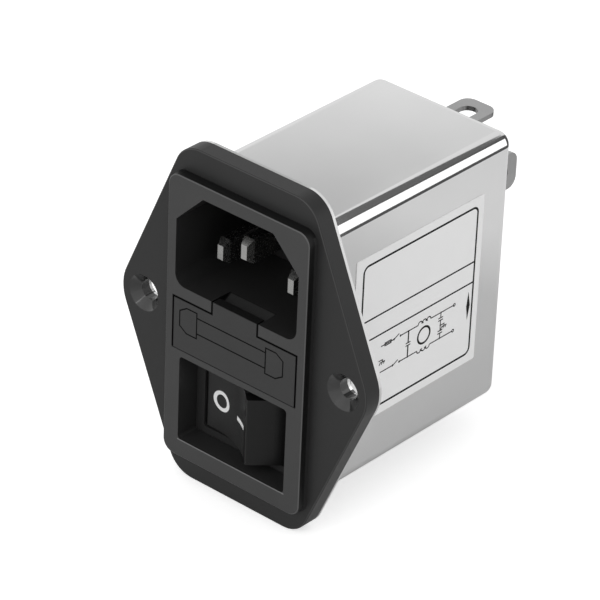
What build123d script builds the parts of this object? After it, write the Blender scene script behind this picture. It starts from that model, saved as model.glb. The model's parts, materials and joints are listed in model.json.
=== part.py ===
from build123d import *
import math
import os

# Power entry filter: appliance inlet, fuse drawer and rocker switch in one front, filter in a can.
# Millimetres. Origin: middle of the panel cut-out, on the face that lies against the panel.
# +X right as seen from the front, +Y into the device, +Z up.

# Drawn steel case
SHEET = 0.5
CASE_DEPTH = 42.0
CASE_CORNER_R, CASE_BACK_R = 2.2, 1.9

# Mounting flange, an elongated hexagon, with two countersunk screws
FLANGE_T, FLANGE_END_BAND, FLANGE_TOP_STEP = 3.0, 4.2, 2.6
FLANGE_CORNER_R, FLANGE_TIP_R, FLANGE_EDGE = 5.0, 7.0, 0.2
SCREW_PITCH, SCREW_EDGE, SCREW_HOLE_D, SCREW_HEAD_D = 40.0, 5.1, 3.4, 6.1

# Raised bezel on the flange
BEZEL_RISE, BEZEL_BAND, BEZEL_END_BAND = 1.7, 1.55, 2.4
BEZEL_CORNER_R, BEZEL_DRAFT, BEZEL_EDGE = 2.2, 6.0, 0.15

# Front housing behind the flange: its gap in the can and the walls round its three bays
HOUSING_GAP = 0.15
BAY_WALL, BAY_FLOOR = 1.23, 1.7
INLET_TOP_WALL, INLET_FLOOR = 0.65, 1.5
SWITCH_LEDGE_W, SWITCH_LEDGE_T, SWITCH_ABOVE = 1.3, 1.8, 1.05

# Appliance inlet
INLET_INSET, INLET_H, INLET_STEP = 0.1, 16.4, 2.0
INLET_CHAMFER, INLET_FLOOR_R = 5.2, 2.0
PIN_W, PIN_H, PIN_PITCH, EARTH_RISE = 2.0, 4.0, 14.0, 4.0
PIN_UP, PIN_RECESS, EARTH_RECESS = 5.7, 4.25, 1.6
PIN_TIP_X, PIN_TIP_Z, PIN_TIP_Y = 0.45, 0.8, 1.2
PIN_FIT = 0.02

# Fuses, 5 by 20 mm
FUSE_L, FUSE_CAP_R, FUSE_CAP_L, FUSE_CAP_WALL = 20.0, 2.6, 5.0, 0.23
GLASS_R, GLASS_WALL, ELEMENT_R = 2.35, 0.6, 0.12
FUSE_GAP, FUSE_END_GAP = 0.05, 0.1

# Fuse drawer and the bay that it slides in
FACE_Z1, FACE_H, FACE_T, FACE_LIP = 3.45, 8.8, 1.6, 0.6
FACE_GAP, FACE_GAP_LOW = 0.25, 0.1
TONGUE_W = 8.8
TRAY_SIDE, TRAY_INSET, TRAY_FLOOR, TRAY_FRONT, TRAY_WALL = 1.5, 0.45, 1.25, 0.6, 1.15
SLIDE_GAP = 0.12
NOTCH_DEPTH, NOTCH_L = 1.3, 2.6

# Fuse clips
CLIP_T, CLIP_W, CLIP_INSET, CLIP_ROOM = 0.4, 4.0, 2.0, 1.7
CLIP_FOOT_Z, CLIP_TOP_Z = -3.2, 2.0
CLIP_TAIL_W, CLIP_BEND_R, CLIP_SIDE_GAP = 1.0, 0.6, 0.24

# Rocker, drawn level and then tilted to its off position
ROCKER_TILT = 20.0
ROCKER_W = 11.5
CREST_Y, SKIRT_R, DISH = 8.04, 9.2, 1.45
END_ANGLE = 63.0
SKIRT_END = 0.5
ROCKER_WALL, ROCKER_FACE_T = 1.2, 1.5
CHEEK_T, CHEEK_R = 1.0, 2.3
TRUNNION_R, TRUNNION_L, RUNNING_FIT = 1.5, 0.85, 0.05
POLE_PITCH = 5.2
GUIDE_R, GUIDE_END = 2.3, 1.6
GUIDE_TOP = 5.4
CREST_ROUND = 0.3

# Switch bay and switch body
SWITCH_R, SWITCH_GAP = 0.6, 0.1
SWITCH_RECESS, FRAME_T, FRAME_COVER, PIVOT_DEPTH = 4.0, 1.0, 0.2, 5.5
ROCKER_SIDE_GAP, SKIRT_GAP, FRAME_OPEN_R = 0.3, 0.4, 0.5
SWITCH_SIDE_T, SWITCH_CHEEK_T, SWITCH_FLOOR_T = 1.2, 1.3, 1.3

# Plungers and their springs
PLUNGER_R, PLUNGER_REACH, PLUNGER_TOP = 1.45, 3.95, 0.9
SPRING_R, SPRING_WIRE_R, SPRING_TURNS, SPRING_STEPS = 1.1, 0.18, 5, 8

# Rocking contact bars
BAR_T, BAR_W, BAR_ARM = 0.8, 3.0, 5.6
BAR_V, BAR_TILT = 8.0, 8.0
BAR_GAP = 0.05
CONTACT_X, CONTACT_R, CONTACT_H = 4.8, 1.1, 0.4
EAR_T, EAR_L, EAR_RISE = 0.5, 2.4, 1.1
HEAD_W = 1.6
STOP_X0, STOP_X1 = 3.6, 5.4
POLE_RIB_T, POLE_RIB_DROP = 0.5, 3.2

# Flat terminals through to the board
BLADE_T, BLADE_W = 0.8, 2.4
TAIL_T, TAIL_W, TAIL_OUT = 0.8, 1.0, 1.0
SHOULDER_GAP = 0.3

# Filter board, carried by four posts of the housing
BOARD_STAND, BOARD_T, BOARD_GAP, BOARD_R = 6.2, 1.6, 0.5, 1.5
TAIL_SLOT, LEAD_HOLE_R, WIRE_HOLE_R = 1.2, 0.45, 0.55
POST_EDGE_X, POST_EDGE_Z, POST_HALF, POST_PIN_R = 1.8, 2.4, 1.5, 0.9
POST_PIN_OUT = 1.0
LEAD_OUT = 1.0
SEAT_GAP = 0.05

# Common-mode choke
CHOKE_Z, CHOKE_STAND = -6.0, 3.5
CORE_R, CORE_BORE_R, CORE_H, CORE_BEVEL = 8.0, 4.5, 7.0, 0.6
WIRE_R, WINDING_TURNS, WINDING_ANGLE = 0.4, 7, 124.0
WINDING_GAP = 0.05
DIVIDER_T, DIVIDER_FOOT_Z, DIVIDER_OUT, DIVIDER_GAP = 1.2, 7.0, 1.2, 0.1

# Capacitors and bleed resistor
XCAP_H, XCAP_T, XCAP_GAP, XCAP_SIDE_GAP, XCAP_LEAD_INSET = 11.0, 5.0, 0.6, 1.8, 1.5
YCAP_R, YCAP_T, YCAP_INSET, YCAP_STAND, YCAP_Z, YCAP_PITCH = 4.0, 3.2, 5.1, 5.9, 16.5, 6.0
YCAP_BEVEL, XCAP_BEVEL = 1.1, 0.4
LEAD_R = 0.35
WIRE_SIDES, SPRING_SIDES = 8, 6
BLEED_R, BLEED_L, BLEED_Z, BLEED_PITCH = 1.2, 6.3, 6.2, 10.0
BLEED_BEVEL = 0.5

# Wires to the rear terminals
CORE_WIRE_R, SLEEVE_R = 0.45, 0.9
SLEEVE_SHORT, WIRE_SHORT = 8.0, 4.0
LIVE_WIRE_Z = 9.3

# Rear terminals
TAB_T, TAB_W, TAB_OUT, TAB_IN_L = 0.8, 6.3, 9.3, 7.0
TAB_TIP_R = 1.8
TAB_SLOT_W, TAB_SLOT_L, TAB_SLOT_EDGE = 3.0, 4.6, 2.1
TERMINAL_GAP, LIVE_TAB_Z = 1.35, 11.2
SHOULDER_W, SHOULDER_L = 8.0, 2.2
LANCE_H, LANCE_L, LANCE_W = 0.3, 0.8, 1.6
INSULATOR_W, INSULATOR_H, INSULATOR_T, INSULATOR_R = 5.0, 10.5, 1.0, 1.0
COLLAR_W, COLLAR_H, COLLAR_R, COLLAR_FIT = 2.8, 8.2, 0.5, 0.05
WASHER_T = 0.8
EARTH_TAB_Z, EARTH_BASE_Z0, EARTH_BEND_R = 19.3, 12.2, 1.0
RIVET_Z, RIVET_R, RIVET_HEAD_R, RIVET_HEAD_H, RIVET_BEVEL = 15.0, 1.5, 2.7, 0.9, 0.6

# Rating label on the right side of the can
LABEL_T, LABEL_Y0, LABEL_BACK, LABEL_Z0, LABEL_Z1, LABEL_R = 0.1, 6.0, 6.5, -13.9, 15.3, 1.3

# Front planes, then the drawer inwards to the back of the housing, with the inlet above it
FLANGE_BACK = -SHEET
FLANGE_FRONT = FLANGE_BACK - FLANGE_T
BEZEL_FRONT = FLANGE_FRONT - BEZEL_RISE
FACE_Z0 = FACE_Z1 - FACE_H
FACE_BACK = BEZEL_FRONT + FACE_T
TRAY_W = FUSE_L + 2 * (FUSE_END_GAP + TRAY_SIDE)
TRAY_Z0, TRAY_Z1 = FACE_Z0 + TRAY_INSET, FACE_Z1 - TRAY_INSET
FACE_W = TRAY_W + 2 * FACE_LIP
POCKET_R = FUSE_CAP_R + FUSE_GAP
FUSE_Z = TRAY_Z0 + TRAY_FLOOR + POCKET_R
SPARE_Y = FACE_BACK + TRAY_FRONT + POCKET_R
FUSE_Y = SPARE_Y + 2 * POCKET_R + TRAY_WALL
TRAY_END = FUSE_Y + POCKET_R + TRAY_WALL
BAY_END = TRAY_END + CLIP_ROOM
HOUSING_BACK = BAY_END + BAY_FLOOR
CLIP_X = FUSE_L / 2 - CLIP_INSET
INLET_W = FACE_W - 2 * INLET_INSET
INLET_Z0 = FACE_Z1 + FACE_GAP + INLET_STEP
INLET_TOP = INLET_Z0 + INLET_H
INLET_END = HOUSING_BACK - INLET_FLOOR
PIN_Z = INLET_Z0 + PIN_UP

# Switch, inwards from its recess to the ledge at the back of its bay, outwards from its rocker
FRAME_Y = BEZEL_FRONT + SWITCH_RECESS
PIVOT_Y = FRAME_Y + PIVOT_DEPTH
POLE_RIB_Y = PIVOT_Y + POLE_RIB_DROP
BAR_AXIS_Y = PIVOT_Y + PLUNGER_REACH + BAR_GAP + BAR_T
FIXED_CONTACT_Y = BAR_AXIS_Y + CONTACT_H + BAR_GAP
SWITCH_BACK = HOUSING_BACK - SWITCH_LEDGE_T
SWITCH_FLOOR = SWITCH_BACK - SWITCH_FLOOR_T
FRAME_OPEN_W, FRAME_OPEN_H = 2 * (SKIRT_R - FRAME_COVER), ROCKER_W + 2 * ROCKER_SIDE_GAP
SWITCH_INSIDE_W = 2 * (SKIRT_R + SKIRT_GAP)
SWITCH_W, SWITCH_H = SWITCH_INSIDE_W + 2 * SWITCH_SIDE_T, FRAME_OPEN_H + 2 * SWITCH_CHEEK_T
SWITCH_Z = FACE_Z0 - FACE_GAP_LOW - SWITCH_ABOVE - SWITCH_H / 2
SWITCH_RIM_W, SWITCH_RIM_H = SWITCH_W - 2 * SWITCH_LEDGE_W, SWITCH_H - 2 * SWITCH_LEDGE_W

# Housing round its bays, can round the housing, bezel and flange round the openings
HOUSING_W = TRAY_W + 2 * (SLIDE_GAP + BAY_WALL)
HOUSING_H = 2 * (INLET_TOP + INLET_TOP_WALL)
CASE_IN_W, CASE_IN_H = HOUSING_W + 2 * HOUSING_GAP, HOUSING_H + 2 * HOUSING_GAP
CASE_W, CASE_H = CASE_IN_W + 2 * SHEET, CASE_IN_H + 2 * SHEET
CASE_IN_R = CASE_CORNER_R - SHEET
CASE_IN_BACK = CASE_DEPTH - SHEET
BEZEL_W, BEZEL_H = FACE_W + 2 * (FACE_GAP + BEZEL_BAND), 2 * (INLET_TOP + BEZEL_END_BAND)
FLANGE_H = BEZEL_H + 2 * FLANGE_END_BAND
FLANGE_TOP_W = BEZEL_W - FLANGE_TOP_STEP
FLANGE_TIP_W = SCREW_PITCH + 2 * SCREW_EDGE

# Filter inside the can, and what passes out of its back
BOARD_Y = HOUSING_BACK + BOARD_STAND
BOARD_BACK = BOARD_Y + BOARD_T
BOARD_W, BOARD_H = CASE_IN_W - 2 * BOARD_GAP, CASE_IN_H - 2 * BOARD_GAP
POST_X, POST_Z = BOARD_W / 2 - POST_EDGE_X, BOARD_H / 2 - POST_EDGE_Z
TAIL_END, SHOULDER_Y = BOARD_BACK + TAIL_OUT, BOARD_Y - SHOULDER_GAP
LEAD_END = BOARD_Y - LEAD_OUT
CHOKE_Y, YCAP_Y = BOARD_BACK + CHOKE_STAND, BOARD_BACK + YCAP_STAND
XCAP_W, XCAP_Z = 2 * (POST_X - XCAP_SIDE_GAP), XCAP_T / 2 + XCAP_GAP - CASE_IN_H / 2
XCAP_PITCH = XCAP_W - 2 * XCAP_LEAD_INSET
YCAP_X = BOARD_W / 2 - YCAP_INSET
LIVE_TAB_X = TAB_W / 2 + TERMINAL_GAP + INSULATOR_W / 2
SLEEVE_END, WIRE_END, TAB_IN = CASE_DEPTH - SLEEVE_SHORT, CASE_DEPTH - WIRE_SHORT, CASE_DEPTH - TAB_IN_L
LIVE_WIRE_X = LIVE_TAB_X - TAB_T / 2 - CORE_WIRE_R - SEAT_GAP
EARTH_WIRE_Z = EARTH_TAB_Z + TAB_T / 2 + CORE_WIRE_R + SEAT_GAP
LABEL_Y1 = CASE_DEPTH - LABEL_BACK
POLES = {"line": POLE_PITCH / 2, "neutral": -POLE_PITCH / 2}
SIDES = {"line": 1, "neutral": -1}


def block(x0, x1, y0, y1, z0, z1):
    """Box between two corners."""
    centre = Pos((x0 + x1) / 2, (y0 + y1) / 2, (z0 + z1) / 2)
    return centre * Box(x1 - x0, y1 - y0, z1 - z0)


def prism_y(outline, y0, y1):
    """Extrude an outline drawn in x and z between two depths."""
    return Pos(0, y0, 0) * extrude(Plane.XZ * outline, amount=y1 - y0, dir=(0, 1, 0))


def plate_y(width, height, radius, y0, y1, x=0.0, z=0.0):
    """Rounded rectangular plate or hole between two depths."""
    return Pos(x, 0, z) * prism_y(RectangleRounded(width, height, radius), y0, y1)


def rod_y(radius, y0, y1, x=0.0, z=0.0):
    """Round rod or hole along the depth."""
    return Pos(x, 0, z) * prism_y(Circle(radius), y0, y1)


def many_sided(radius, y0, y1, x, z):
    """Eight-sided rod or hole along the depth."""
    return Pos(x, 0, z) * prism_y(RegularPolygon(radius, WIRE_SIDES), y0, y1)


def rod_x(radius, x0, x1, y, z):
    """Round rod or hole from left to right."""
    return Pos(x0, y, z) * extrude(Plane.YZ * Circle(radius), amount=x1 - x0)


def rod_z(radius, z0, z1, x, y):
    """Round rod or hole upwards."""
    return Pos(x, y, z0) * extrude(Circle(radius), amount=z1 - z0)


def flange_outline():
    """Hexagon with pointed sides, rounded at its corners and at its two tips."""
    tip, top, half = FLANGE_TIP_W / 2, FLANGE_TOP_W / 2, FLANGE_H / 2
    right = [(top, -half), (tip, 0), (top, half)]
    left = [(-x, y) for x, y in reversed(right)]
    hexagon = Polygon(*right, *left, align=None)
    tips = [v for v in hexagon.vertices() if abs(v.Y) < half / 2]
    rounded = fillet(tips, FLANGE_TIP_R)
    corners = [v for v in rounded.vertices() if abs(v.Y) > half - SEAT_GAP]
    return fillet(corners, FLANGE_CORNER_R)


def screw_hole(x):
    """Through hole with a 90 degree countersink."""
    hole_r, head_r = SCREW_HOLE_D / 2, SCREW_HEAD_D / 2
    sink = Cone(head_r, hole_r, head_r - hole_r, align=(Align.CENTER, Align.CENTER, Align.MIN))
    through = rod_y(hole_r, FLANGE_FRONT, 0, x)
    return through + Pos(x, FLANGE_FRONT, 0) * Rot(-90, 0, 0) * sink


def inlet_outline():
    """Appliance inlet opening: rectangle with two large top chamfers and a rounded floor."""
    half, cut = INLET_W / 2, INLET_CHAMFER
    right = [(half, INLET_Z0), (half, INLET_TOP - cut), (half - cut, INLET_TOP)]
    left = [(-x, z) for x, z in reversed(right)]
    outline = Polygon(*right, *left, align=None)
    floor_corners = outline.vertices().sort_by(Axis.Y)[:2]
    return fillet(floor_corners, INLET_FLOOR_R)


def drawer_bay():
    """Space for the drawer face, its tongue and its tray."""
    face_half = FACE_W / 2 + FACE_GAP
    face = block(-face_half, face_half, BEZEL_FRONT, FACE_BACK, FACE_Z0 - FACE_GAP_LOW, FACE_Z1 + FACE_GAP)
    tongue_half = TONGUE_W / 2 + FACE_GAP
    tongue = block(-tongue_half, tongue_half, BEZEL_FRONT, FACE_BACK, FACE_Z1, INLET_Z0 + FACE_GAP)
    tray_half = TRAY_W / 2 + SLIDE_GAP
    tray = block(-tray_half, tray_half, FACE_BACK, BAY_END, TRAY_Z0 - SLIDE_GAP, TRAY_Z1 + SLIDE_GAP)
    return face + tongue + tray


def pry_notch():
    """Sloping notch in the inlet floor, where a blade reaches behind the drawer's tongue."""
    low, back = INLET_Z0 - NOTCH_DEPTH, FACE_BACK + NOTCH_L
    slope = Polygon((FACE_BACK, low), (back, INLET_Z0), (FACE_BACK, INLET_Z0), align=None)
    half = TONGUE_W / 2 + FACE_GAP
    return Pos(-half, 0, 0) * extrude(Plane.YZ * slope, amount=2 * half)


def board_post(x, z):
    """Square moulded post with a pin that locates the board."""
    post = block(x - POST_HALF, x + POST_HALF, HOUSING_BACK, BOARD_Y, z - POST_HALF, z + POST_HALF)
    return post + many_sided(POST_PIN_R, BOARD_Y, BOARD_BACK + POST_PIN_OUT, x, z)


def front_housing():
    """Flange, bezel, inlet shroud, fuse bay and switch bay in one moulding."""
    body = prism_y(flange_outline(), FLANGE_FRONT, FLANGE_BACK)
    body = chamfer(body.faces().sort_by(Axis.Y)[0].edges(), FLANGE_EDGE)
    bezel_face = Plane.XZ.offset(-FLANGE_FRONT) * RectangleRounded(BEZEL_W, BEZEL_H, BEZEL_CORNER_R)
    bezel = extrude(bezel_face, amount=BEZEL_RISE, taper=BEZEL_DRAFT)
    front_edges = bezel.faces().sort_by(Axis.Y)[0].edges()
    body += chamfer(front_edges, BEZEL_EDGE)
    body += plate_y(HOUSING_W, HOUSING_H, CASE_IN_R - HOUSING_GAP, FLANGE_BACK, HOUSING_BACK)
    for x in (-POST_X, POST_X):
        for z in (-POST_Z, POST_Z):
            body += board_post(x, z)
    body -= prism_y(inlet_outline(), BEZEL_FRONT, INLET_END)
    body -= drawer_bay()
    body -= pry_notch()
    body -= plate_y(SWITCH_W, SWITCH_H, SWITCH_R, BEZEL_FRONT, SWITCH_BACK, 0, SWITCH_Z)
    body -= plate_y(SWITCH_RIM_W, SWITCH_RIM_H, SWITCH_R, SWITCH_BACK, HOUSING_BACK, 0, SWITCH_Z)
    for x in (-SCREW_PITCH / 2, SCREW_PITCH / 2):
        body -= screw_hole(x)
    for x, z in pin_places().values():
        slot = Box(PIN_W + 2 * PIN_FIT, HOUSING_BACK - INLET_END, PIN_H + 2 * PIN_FIT)
        body -= Pos(x, (HOUSING_BACK + INLET_END) / 2, z) * slot
    for x in (-CLIP_X, CLIP_X):
        body -= clip_tail(x, SEAT_GAP)
    return body


def metal_case():
    """Drawn can with a flange lip, open at the front, with terminal holes in its back."""
    outer = plate_y(CASE_W, CASE_H, CASE_CORNER_R, -SHEET, CASE_DEPTH)
    back_edges = outer.faces().sort_by(Axis.Y)[-1].edges()
    outer = fillet(back_edges, CASE_BACK_R)
    inner = plate_y(CASE_IN_W, CASE_IN_H, CASE_IN_R, -SHEET, CASE_IN_BACK)
    inner_edges = inner.faces().sort_by(Axis.Y)[-1].edges()
    inner = chamfer(inner_edges, CASE_BACK_R - SHEET)
    body = prism_y(flange_outline(), -SHEET, 0) + outer - inner
    for x in (-SCREW_PITCH / 2, SCREW_PITCH / 2):
        body -= rod_y(SCREW_HOLE_D / 2, -SHEET, 0, x)
    for x in (-LIVE_TAB_X, LIVE_TAB_X):
        width, height = COLLAR_W + 2 * COLLAR_FIT, COLLAR_H + 2 * COLLAR_FIT
        body -= plate_y(width, height, COLLAR_R, CASE_IN_BACK, CASE_DEPTH, x, LIVE_TAB_Z)
    body -= rod_y(RIVET_R + COLLAR_FIT, CASE_IN_BACK, CASE_DEPTH, 0, RIVET_Z)
    return body


def pin_places():
    """Middle of each inlet pin, in x and z."""
    return {
        "line_pin": (PIN_PITCH / 2, PIN_Z),
        "neutral_pin": (-PIN_PITCH / 2, PIN_Z),
        "earth_pin": (0.0, PIN_Z + EARTH_RISE),
    }


def inlet_pin(x, z, recess):
    """Flat pin with a chamfered tip, and a narrow tail that reaches through the board."""
    tip = BEZEL_FRONT + recess
    root = Rectangle(PIN_W, PIN_H)
    nose = Rectangle(PIN_W - 2 * PIN_TIP_X, PIN_H - 2 * PIN_TIP_Z)
    at_tip, at_root = Plane.XZ.offset(-tip) * nose, Plane.XZ.offset(-tip - PIN_TIP_Y) * root
    body = loft([at_tip, at_root])
    body += block(-PIN_W / 2, PIN_W / 2, tip + PIN_TIP_Y, HOUSING_BACK, -PIN_H / 2, PIN_H / 2)
    body += tail(HOUSING_BACK)
    return Pos(x, 0, z) * body


def tail(y0):
    """Narrow solder tail along the depth, from one place to its end behind the board."""
    return block(-TAIL_T / 2, TAIL_T / 2, y0, TAIL_END, -TAIL_W / 2, TAIL_W / 2)


def fuse_drawer():
    """Drawer face with its tongue, and the tray for the working and the spare fuse."""
    half = FACE_W / 2
    body = block(-half, half, BEZEL_FRONT, FACE_BACK, FACE_Z0, FACE_Z1)
    body += block(-TONGUE_W / 2, TONGUE_W / 2, BEZEL_FRONT, FACE_BACK, FACE_Z1, INLET_Z0)
    body += block(-TRAY_W / 2, TRAY_W / 2, FACE_BACK, TRAY_END, TRAY_Z0, TRAY_Z1)
    pocket_x = FUSE_L / 2 + FUSE_END_GAP
    for y in (SPARE_Y, FUSE_Y):
        body -= block(-pocket_x, pocket_x, y - POCKET_R, y + POCKET_R, FUSE_Z, TRAY_Z1)
        body -= rod_x(POCKET_R, -pocket_x, pocket_x, y, FUSE_Z)
    for side in (-1, 1):
        x0, x1 = sorted((side * (CLIP_X - CLIP_W / 2 - CLIP_SIDE_GAP), side * pocket_x))
        body -= block(x0, x1, FUSE_Y, TRAY_END, FUSE_Z - FUSE_CAP_R + CLIP_T, TRAY_Z1)
    return body


def fuse_cap(y, side):
    """Pressed metal cup on one end of a fuse."""
    end, rim = side * FUSE_L / 2, side * (FUSE_L / 2 - FUSE_CAP_L)
    floor = side * (FUSE_L / 2 - FUSE_CAP_WALL)
    cup = rod_x(FUSE_CAP_R, min(rim, end), max(rim, end), y, FUSE_Z)
    return cup - rod_x(FUSE_CAP_R - FUSE_CAP_WALL, min(rim, floor), max(rim, floor), y, FUSE_Z)


def fuse_glass(y):
    """Glass tube between the inner ends of the caps."""
    half = FUSE_L / 2 - FUSE_CAP_WALL
    return rod_x(GLASS_R, -half, half, y, FUSE_Z) - rod_x(GLASS_R - GLASS_WALL, -half, half, y, FUSE_Z)


def fuse_element(y):
    """Thin wire that melts, from cap to cap."""
    half = FUSE_L / 2 - FUSE_CAP_WALL
    return rod_x(ELEMENT_R, -half, half, y, FUSE_Z)


def clip_tail(x, grow=0.0):
    """Tail of a fuse clip, or with grow the slot that it passes through."""
    half_w, half_t = CLIP_TAIL_W / 2 + grow, CLIP_T / 2 + grow
    end = HOUSING_BACK if grow else TAIL_END
    return block(x - half_w, x + half_w, BAY_END, end, CLIP_FOOT_Z - half_t, CLIP_FOOT_Z + half_t)


def fuse_clip(side):
    """Bowed spring strip that presses on the cap of the working fuse."""
    touch = FUSE_Y + POCKET_R + CLIP_T / 2
    wall = BAY_END - CLIP_T / 2
    middle = (touch + wall) / 2
    upright = [(wall, CLIP_FOOT_Z), (wall, CLIP_TOP_Z)]
    bow = [(middle, CLIP_TOP_Z), (touch, FUSE_Z), (middle, CLIP_FOOT_Z)]
    path = FilletPolyline(*upright, *bow, radius=CLIP_BEND_R)
    strip = extrude(Plane.YZ * trace(path, CLIP_T), amount=CLIP_W)
    return Pos(side * CLIP_X - CLIP_W / 2, 0, 0) * strip + clip_tail(side * CLIP_X)


def switch_body():
    """Open box that carries the rocker, with a frame round its opening and slots for the terminals."""
    width, height = SWITCH_W - 2 * SWITCH_GAP, SWITCH_H - 2 * SWITCH_GAP
    body = plate_y(width, height, SWITCH_R - SWITCH_GAP, FRAME_Y, SWITCH_BACK)
    body -= plate_y(FRAME_OPEN_W, FRAME_OPEN_H, FRAME_OPEN_R, FRAME_Y, FRAME_Y + FRAME_T)
    body -= plate_y(SWITCH_INSIDE_W, FRAME_OPEN_H, FRAME_OPEN_R, FRAME_Y + FRAME_T, SWITCH_FLOOR)
    hole = ROCKER_W / 2 + TRUNNION_L + SWITCH_GAP
    body -= rod_z(TRUNNION_R + RUNNING_FIT, -hole, hole, 0, PIVOT_Y)
    body += block(-BAR_ARM, BAR_ARM, POLE_RIB_Y, SWITCH_FLOOR, -POLE_RIB_T / 2, POLE_RIB_T / 2)
    for z in POLES.values():
        body += block(STOP_X0, STOP_X1, BAR_AXIS_Y + BAR_GAP, SWITCH_FLOOR, z - BAR_W / 2, z + BAR_W / 2)
        for x in (0, -CONTACT_X):
            half_t, half_w = BLADE_T / 2 + PIN_FIT, BLADE_W / 2 + PIN_FIT
            body -= block(x - half_t, x + half_t, SWITCH_FLOOR, SWITCH_BACK, z - half_w, z + half_w)
    return Pos(0, 0, SWITCH_Z) * body


def rocker_section(crest_y, skirt_r):
    """Section about the pivot: dished face, flat ends that run into round skirts, and a level foot."""
    slope = math.radians(END_ANGLE)
    crest = Vector((skirt_r - crest_y * math.cos(slope)) / math.sin(slope), -crest_y)
    touch = Vector(skirt_r * math.sin(slope), -skirt_r * math.cos(slope))
    foot_angle = -math.asin(SKIRT_END / skirt_r)
    middle_angle = (foot_angle + slope - math.pi / 2) / 2
    foot = Vector(skirt_r, 0).rotate(Axis.Z, math.degrees(foot_angle))
    bulge = Vector(skirt_r, 0).rotate(Axis.Z, math.degrees(middle_angle))

    def mirrored(point):
        return Vector(-point.X, point.Y)

    outline = [
        ThreePointArc(mirrored(crest), Vector(0, DISH - crest_y), crest),
        Line(crest, touch),
        ThreePointArc(touch, bulge, foot),
        Line(foot, mirrored(foot)),
        ThreePointArc(mirrored(foot), mirrored(bulge), mirrored(touch)),
        Line(mirrored(touch), mirrored(crest)),
    ]
    return make_face(outline)


def on_rocker(shape):
    """Place a shape that is drawn about the level rocker's pivot as it lies in the off position."""
    return Pos(0, PIVOT_Y, SWITCH_Z) * Rot(0, 0, -ROCKER_TILT) * shape


def rocker():
    """Hollow rocker with trunnions on its cheeks and two guides for the plungers."""
    half = ROCKER_W / 2
    outer = rocker_section(CREST_Y, SKIRT_R)
    crests = outer.vertices().sort_by(Axis.Y)[:2]
    body = Pos(0, 0, -half) * extrude(fillet(crests, CREST_ROUND), amount=ROCKER_W)
    inside = half - CHEEK_T
    hollow = rocker_section(CREST_Y - ROCKER_FACE_T, SKIRT_R - ROCKER_WALL)
    body -= Pos(0, 0, -inside) * extrude(hollow, amount=2 * inside)
    for side in (-1, 1):
        cheek0, cheek1 = sorted((side * inside, side * half))
        body += rod_z(CHEEK_R, cheek0, cheek1, 0, 0)
        end0, end1 = sorted((side * half, side * (half + TRUNNION_L)))
        body += rod_z(TRUNNION_R, end0, end1, 0, 0)
    for z in POLES.values():
        body += rod_y(GUIDE_R, -GUIDE_TOP, GUIDE_END, 0, z)
        body -= rod_y(PLUNGER_R + RUNNING_FIT, -GUIDE_TOP, GUIDE_END, 0, z)
    return on_rocker(body)


def plunger(z):
    """Round pin with a domed tip that slides in its guide."""
    dome_y = PLUNGER_REACH - PLUNGER_R
    body = rod_y(PLUNGER_R, -PLUNGER_TOP, dome_y, 0, z) + Pos(0, dome_y, z) * Sphere(PLUNGER_R)
    return on_rocker(body)


def plunger_spring(z):
    """Coil spring between the end of the guide and the plunger."""
    length = GUIDE_TOP - PLUNGER_TOP - 2 * SPRING_WIRE_R - SEAT_GAP
    steps = SPRING_TURNS * SPRING_STEPS
    points = []
    for n in range(steps + 1):
        turn = math.tau * n / SPRING_STEPS
        y = -PLUNGER_TOP - SPRING_WIRE_R - length * n / steps
        points.append((SPRING_R * math.cos(turn), y, z + SPRING_R * math.sin(turn)))
    return on_rocker(bent_wire(points, SPRING_WIRE_R, SPRING_SIDES))


def contact_bar(z):
    """Shallow V strip that rocks on its middle, with a contact under its left arm."""
    arm = block(0, BAR_ARM, -BAR_T, 0, -BAR_W / 2, BAR_W / 2)
    contact = rod_y(CONTACT_R, 0, CONTACT_H, -CONTACT_X)
    left = Rot(0, 0, BAR_V) * (mirror(arm, Plane.YZ) + contact)
    right = Rot(0, 0, -BAR_V) * arm
    return Pos(0, BAR_AXIS_Y, SWITCH_Z + z) * Rot(0, 0, BAR_TILT) * (left + right)


def switch_blade():
    """Blade and solder tail of a switch terminal, from the switch floor back."""
    blade = block(-BLADE_T / 2, BLADE_T / 2, SWITCH_FLOOR, SHOULDER_Y, -BLADE_W / 2, BLADE_W / 2)
    return blade + tail(SHOULDER_Y)


def common_terminal(z):
    """Middle terminal: the contact bar rocks on its head, between two ears."""
    ear0 = BAR_W / 2 + SWITCH_GAP
    ear1 = ear0 + EAR_T
    body = block(-HEAD_W / 2, HEAD_W / 2, BAR_AXIS_Y + BAR_GAP, SWITCH_FLOOR, -ear1, ear1)
    for side in (-1, 1):
        z0, z1 = sorted((side * ear0, side * ear1))
        body += block(-EAR_L / 2, EAR_L / 2, BAR_AXIS_Y - EAR_RISE, SWITCH_FLOOR, z0, z1)
    return Pos(0, 0, SWITCH_Z + z) * (body + switch_blade())


def contact_terminal(z):
    """Fixed contact under the left arm of a contact bar."""
    body = rod_y(CONTACT_R, FIXED_CONTACT_Y, SWITCH_FLOOR) + switch_blade()
    return Pos(-CONTACT_X, 0, SWITCH_Z + z) * body


def winding_angles():
    """Start and end angle of the right-hand winding, seen from the front."""
    return -WINDING_ANGLE / 2, WINDING_ANGLE / 2


def lead_places():
    """Where each wire lead of a part behind the board passes through it, in x and z."""
    radius = CORE_R + WINDING_GAP + WIRE_R
    places = {}
    for name, side in SIDES.items():
        for end, angle in zip(("start", "finish"), winding_angles()):
            x = side * radius * math.cos(math.radians(angle))
            z = CHOKE_Z + radius * math.sin(math.radians(angle))
            places[f"choke_{name}_{end}"] = (x, z)
        places[f"xcap_{name}"] = (side * XCAP_PITCH / 2, XCAP_Z)
        places[f"bleed_{name}"] = (side * BLEED_PITCH / 2, BLEED_Z)
        for end in (-1, 1):
            places[f"ycap_{name}_{end}"] = (side * YCAP_X + end * YCAP_PITCH / 2, YCAP_Z)
    return places


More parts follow.
